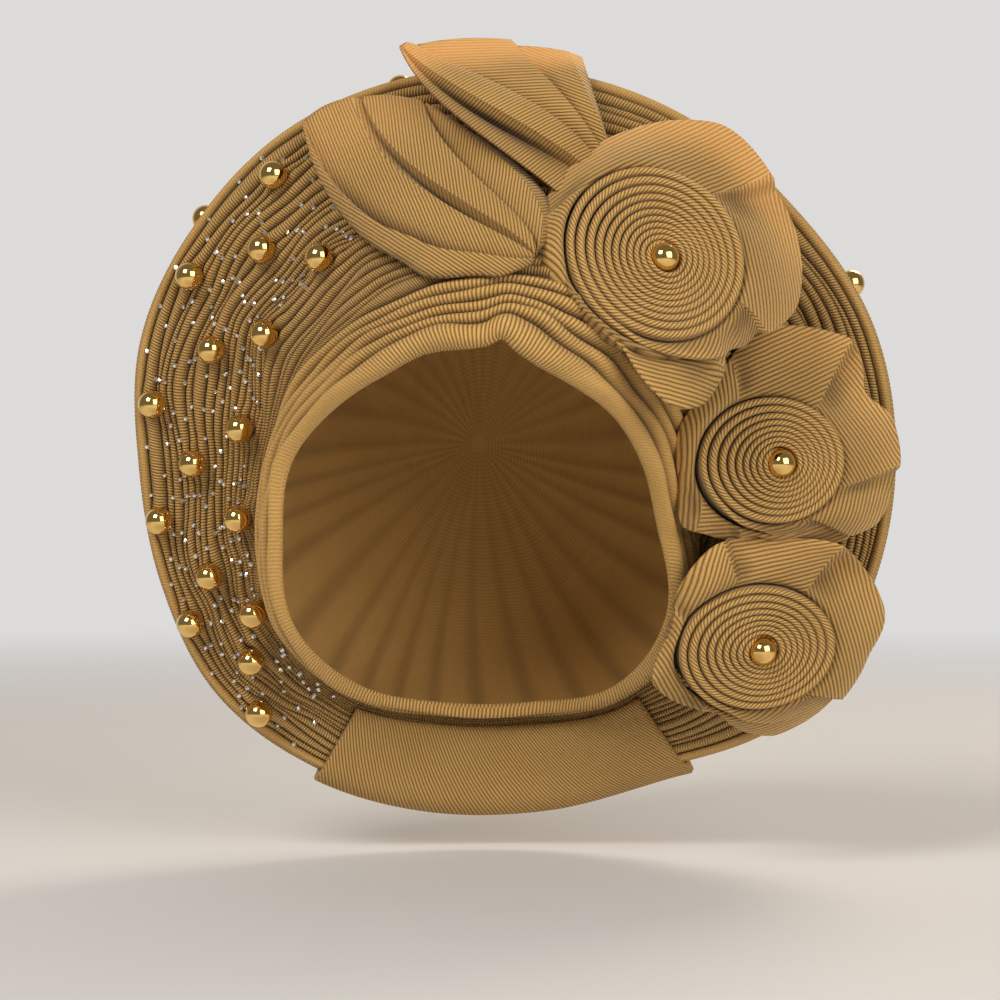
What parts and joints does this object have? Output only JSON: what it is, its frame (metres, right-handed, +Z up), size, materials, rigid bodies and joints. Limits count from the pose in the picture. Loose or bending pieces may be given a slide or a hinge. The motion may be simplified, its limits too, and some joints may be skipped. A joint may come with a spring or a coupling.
{
  "type": "gele head tie",
  "caption": "Ready-tied head tie of ribbed gold cloth: ring brim of fine pleats, folded face band, crown cap, gathered leaves, rolled rosettes and gold beads, worn on the head.",
  "frame": {"origin": "the middle of the head hollow, level with the brows", "axes": "+Z up, +Y towards the back of the wearer's head and +X towards the wearer's left, so the wearer faces -Y"},
  "size_m": [0.2753, 0.1993, 0.2842],
  "materials": {
    "cloth": "ribbed tan-gold weave with a soft sheen",
    "bead": "polished gold plating"
  },
  "bodies": {
    "root": {"crown_cap": "cloth", "face_band": "cloth", "pleated_brim": "cloth", "nape_binding": "cloth", "leaf_lower": "cloth", "leaf_upper": "cloth", "rosette_top": "cloth", "rosette_middle": "cloth", "rosette_bottom": "cloth", "bead_rosette_top": "bead", "bead_rosette_middle": "bead", "bead_rosette_bottom": "bead", "bead_front_01": "bead", "bead_front_02": "bead", "bead_front_03": "bead", "bead_front_04": "bead", "bead_front_05": "bead", "bead_front_06": "bead", "bead_front_07": "bead", "bead_front_08": "bead", "bead_front_09": "bead", "bead_front_10": "bead", "bead_front_11": "bead", "bead_front_12": "bead", "bead_front_13": "bead", "bead_front_14": "bead", "bead_front_15": "bead", "bead_front_16": "bead", "bead_back_1": "bead", "bead_back_2": "bead", "bead_back_3": "bead"}
  },
  "joints": []
}
